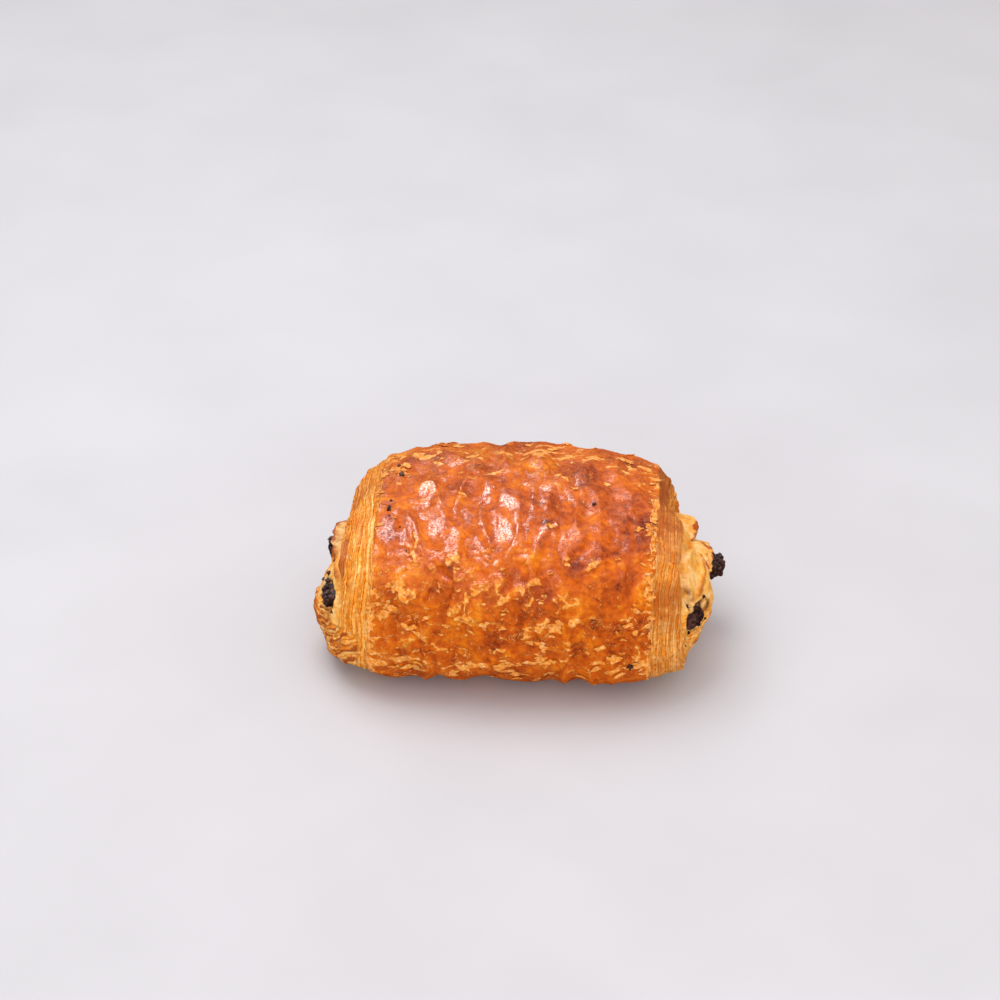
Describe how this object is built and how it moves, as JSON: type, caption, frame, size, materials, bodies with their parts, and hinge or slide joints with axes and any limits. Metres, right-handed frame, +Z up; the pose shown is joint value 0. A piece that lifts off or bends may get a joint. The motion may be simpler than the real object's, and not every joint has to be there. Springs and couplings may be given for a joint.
{
  "type": "pain au chocolat",
  "caption": "Baked roll of laminated pastry with a glossy brown crust, cut ends of stepped leaves, and chocolate sticks that run through it and show at both ends.",
  "frame": {"origin": "middle of the outline seen from above, at the height of the base it rests on", "axes": "+X along the roll, +Z up, -Y towards its front, the side the picture shows"},
  "size_m": [0.1158, 0.0764, 0.0529],
  "materials": {
    "baked_dough": "egg-washed crust, glossy brown, with paler leaves at the cut ends",
    "dark_chocolate": "baked dark chocolate, dull and lumpy"
  },
  "bodies": {
    "root": {"rolled_pastry": "baked_dough", "chocolate_stick_back": "dark_chocolate", "chocolate_stick_front": "dark_chocolate"}
  },
  "joints": []
}
